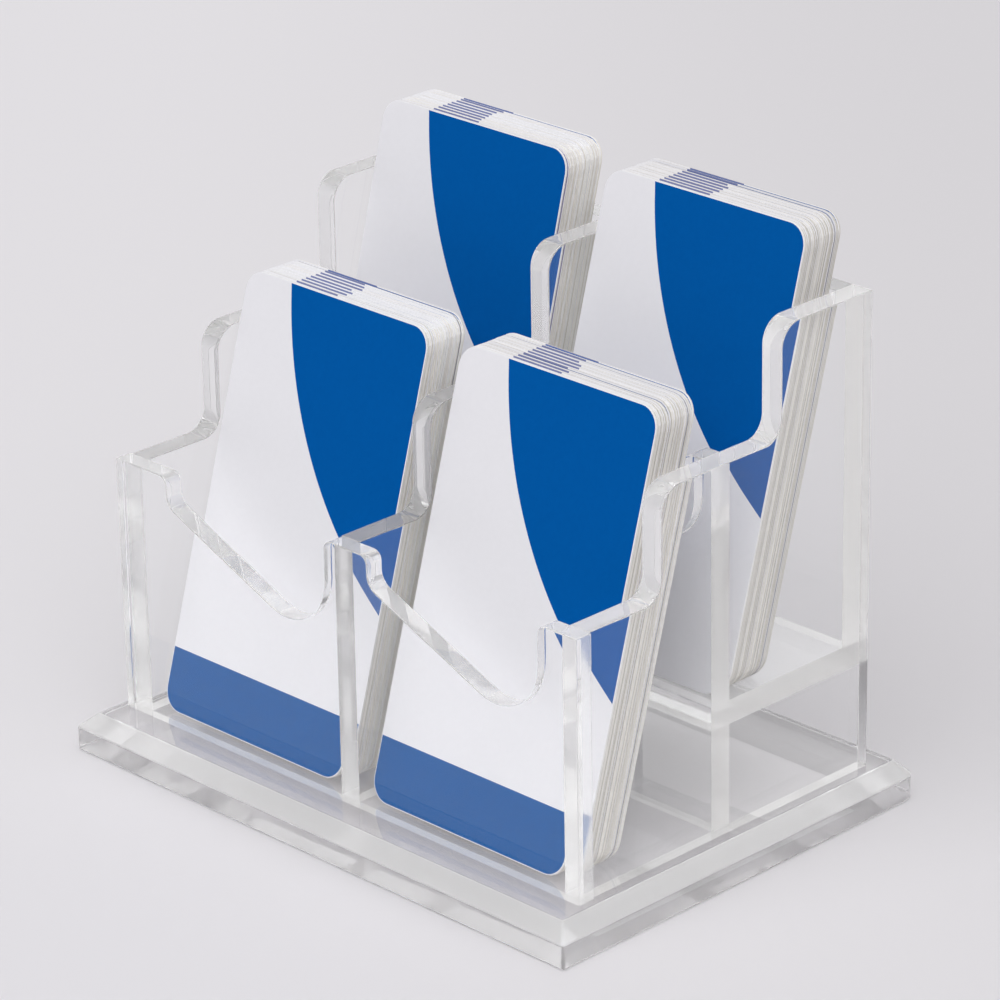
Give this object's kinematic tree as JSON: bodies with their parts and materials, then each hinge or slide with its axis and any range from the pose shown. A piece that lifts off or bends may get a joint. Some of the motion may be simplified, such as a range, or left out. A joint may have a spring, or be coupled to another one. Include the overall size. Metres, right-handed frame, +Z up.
{
  "type": "acrylic business card holder",
  "caption": "Clear acrylic desk holder with stepped sides, a bevelled base, finger cut-outs and upright pockets in two tiers, filled with leaning stacks of business cards.",
  "frame": {"origin": "middle of the underside of the base plate", "axes": "+Z up, front towards -Y, +X to the right seen from the front"},
  "size_m": [0.1372, 0.0996, 0.1216],
  "materials": {
    "clear_acrylic": "clear cast acrylic sheet with polished edges",
    "printed_card": "white card with a plain blue print, smooth matte",
    "card_stock": "white card, smooth matte, warm grey cut edges"
  },
  "bodies": {
    "holder": {"base_plate": "clear_acrylic", "front_panel": "clear_acrylic", "left_side_panel": "clear_acrylic", "centre_divider": "clear_acrylic", "right_side_panel": "clear_acrylic", "left_riser_wall": "clear_acrylic", "left_rear_floor": "clear_acrylic", "left_rear_pocket_wall": "clear_acrylic", "left_back_panel": "clear_acrylic", "right_riser_wall": "clear_acrylic", "right_rear_floor": "clear_acrylic", "right_rear_pocket_wall": "clear_acrylic", "right_back_panel": "clear_acrylic"},
    "front_left_top_card": {"front_left_front_card": "printed_card"},
    "front_left_cards": {"front_left_card_pack": "card_stock", "front_left_rear_card": "card_stock"},
    "front_right_top_card": {"front_right_front_card": "printed_card"},
    "front_right_cards": {"front_right_card_pack": "card_stock", "front_right_rear_card": "card_stock"},
    "back_left_top_card": {"back_left_front_card": "printed_card"},
    "back_left_cards": {"back_left_card_pack": "card_stock", "back_left_rear_card": "card_stock"},
    "back_right_top_card": {"back_right_front_card": "printed_card"},
    "back_right_cards": {"back_right_card_pack": "card_stock", "back_right_rear_card": "card_stock"}
  },
  "joints": [
    {"name": "front_left_top_card_lift", "type": "slide", "parent": "holder", "child": "front_left_top_card", "axis": [0, 0.2813, 0.9596], "range_m": [0, 0.09]},
    {"name": "front_left_cards_lift", "type": "slide", "parent": "holder", "child": "front_left_cards", "axis": [0, 0.2813, 0.9596], "range_m": [0, 0.09]},
    {"name": "front_right_top_card_lift", "type": "slide", "parent": "holder", "child": "front_right_top_card", "axis": [0, 0.2813, 0.9596], "range_m": [0, 0.09]},
    {"name": "front_right_cards_lift", "type": "slide", "parent": "holder", "child": "front_right_cards", "axis": [0, 0.2813, 0.9596], "range_m": [0, 0.09]},
    {"name": "back_left_top_card_lift", "type": "slide", "parent": "holder", "child": "back_left_top_card", "axis": [0, 0.2573, 0.9663], "range_m": [0, 0.09]},
    {"name": "back_left_cards_lift", "type": "slide", "parent": "holder", "child": "back_left_cards", "axis": [0, 0.2573, 0.9663], "range_m": [0, 0.09]},
    {"name": "back_right_top_card_lift", "type": "slide", "parent": "holder", "child": "back_right_top_card", "axis": [0, 0.2775, 0.9607], "range_m": [0, 0.09]},
    {"name": "back_right_cards_lift", "type": "slide", "parent": "holder", "child": "back_right_cards", "axis": [0, 0.2775, 0.9607], "range_m": [0, 0.09]}
  ]
}
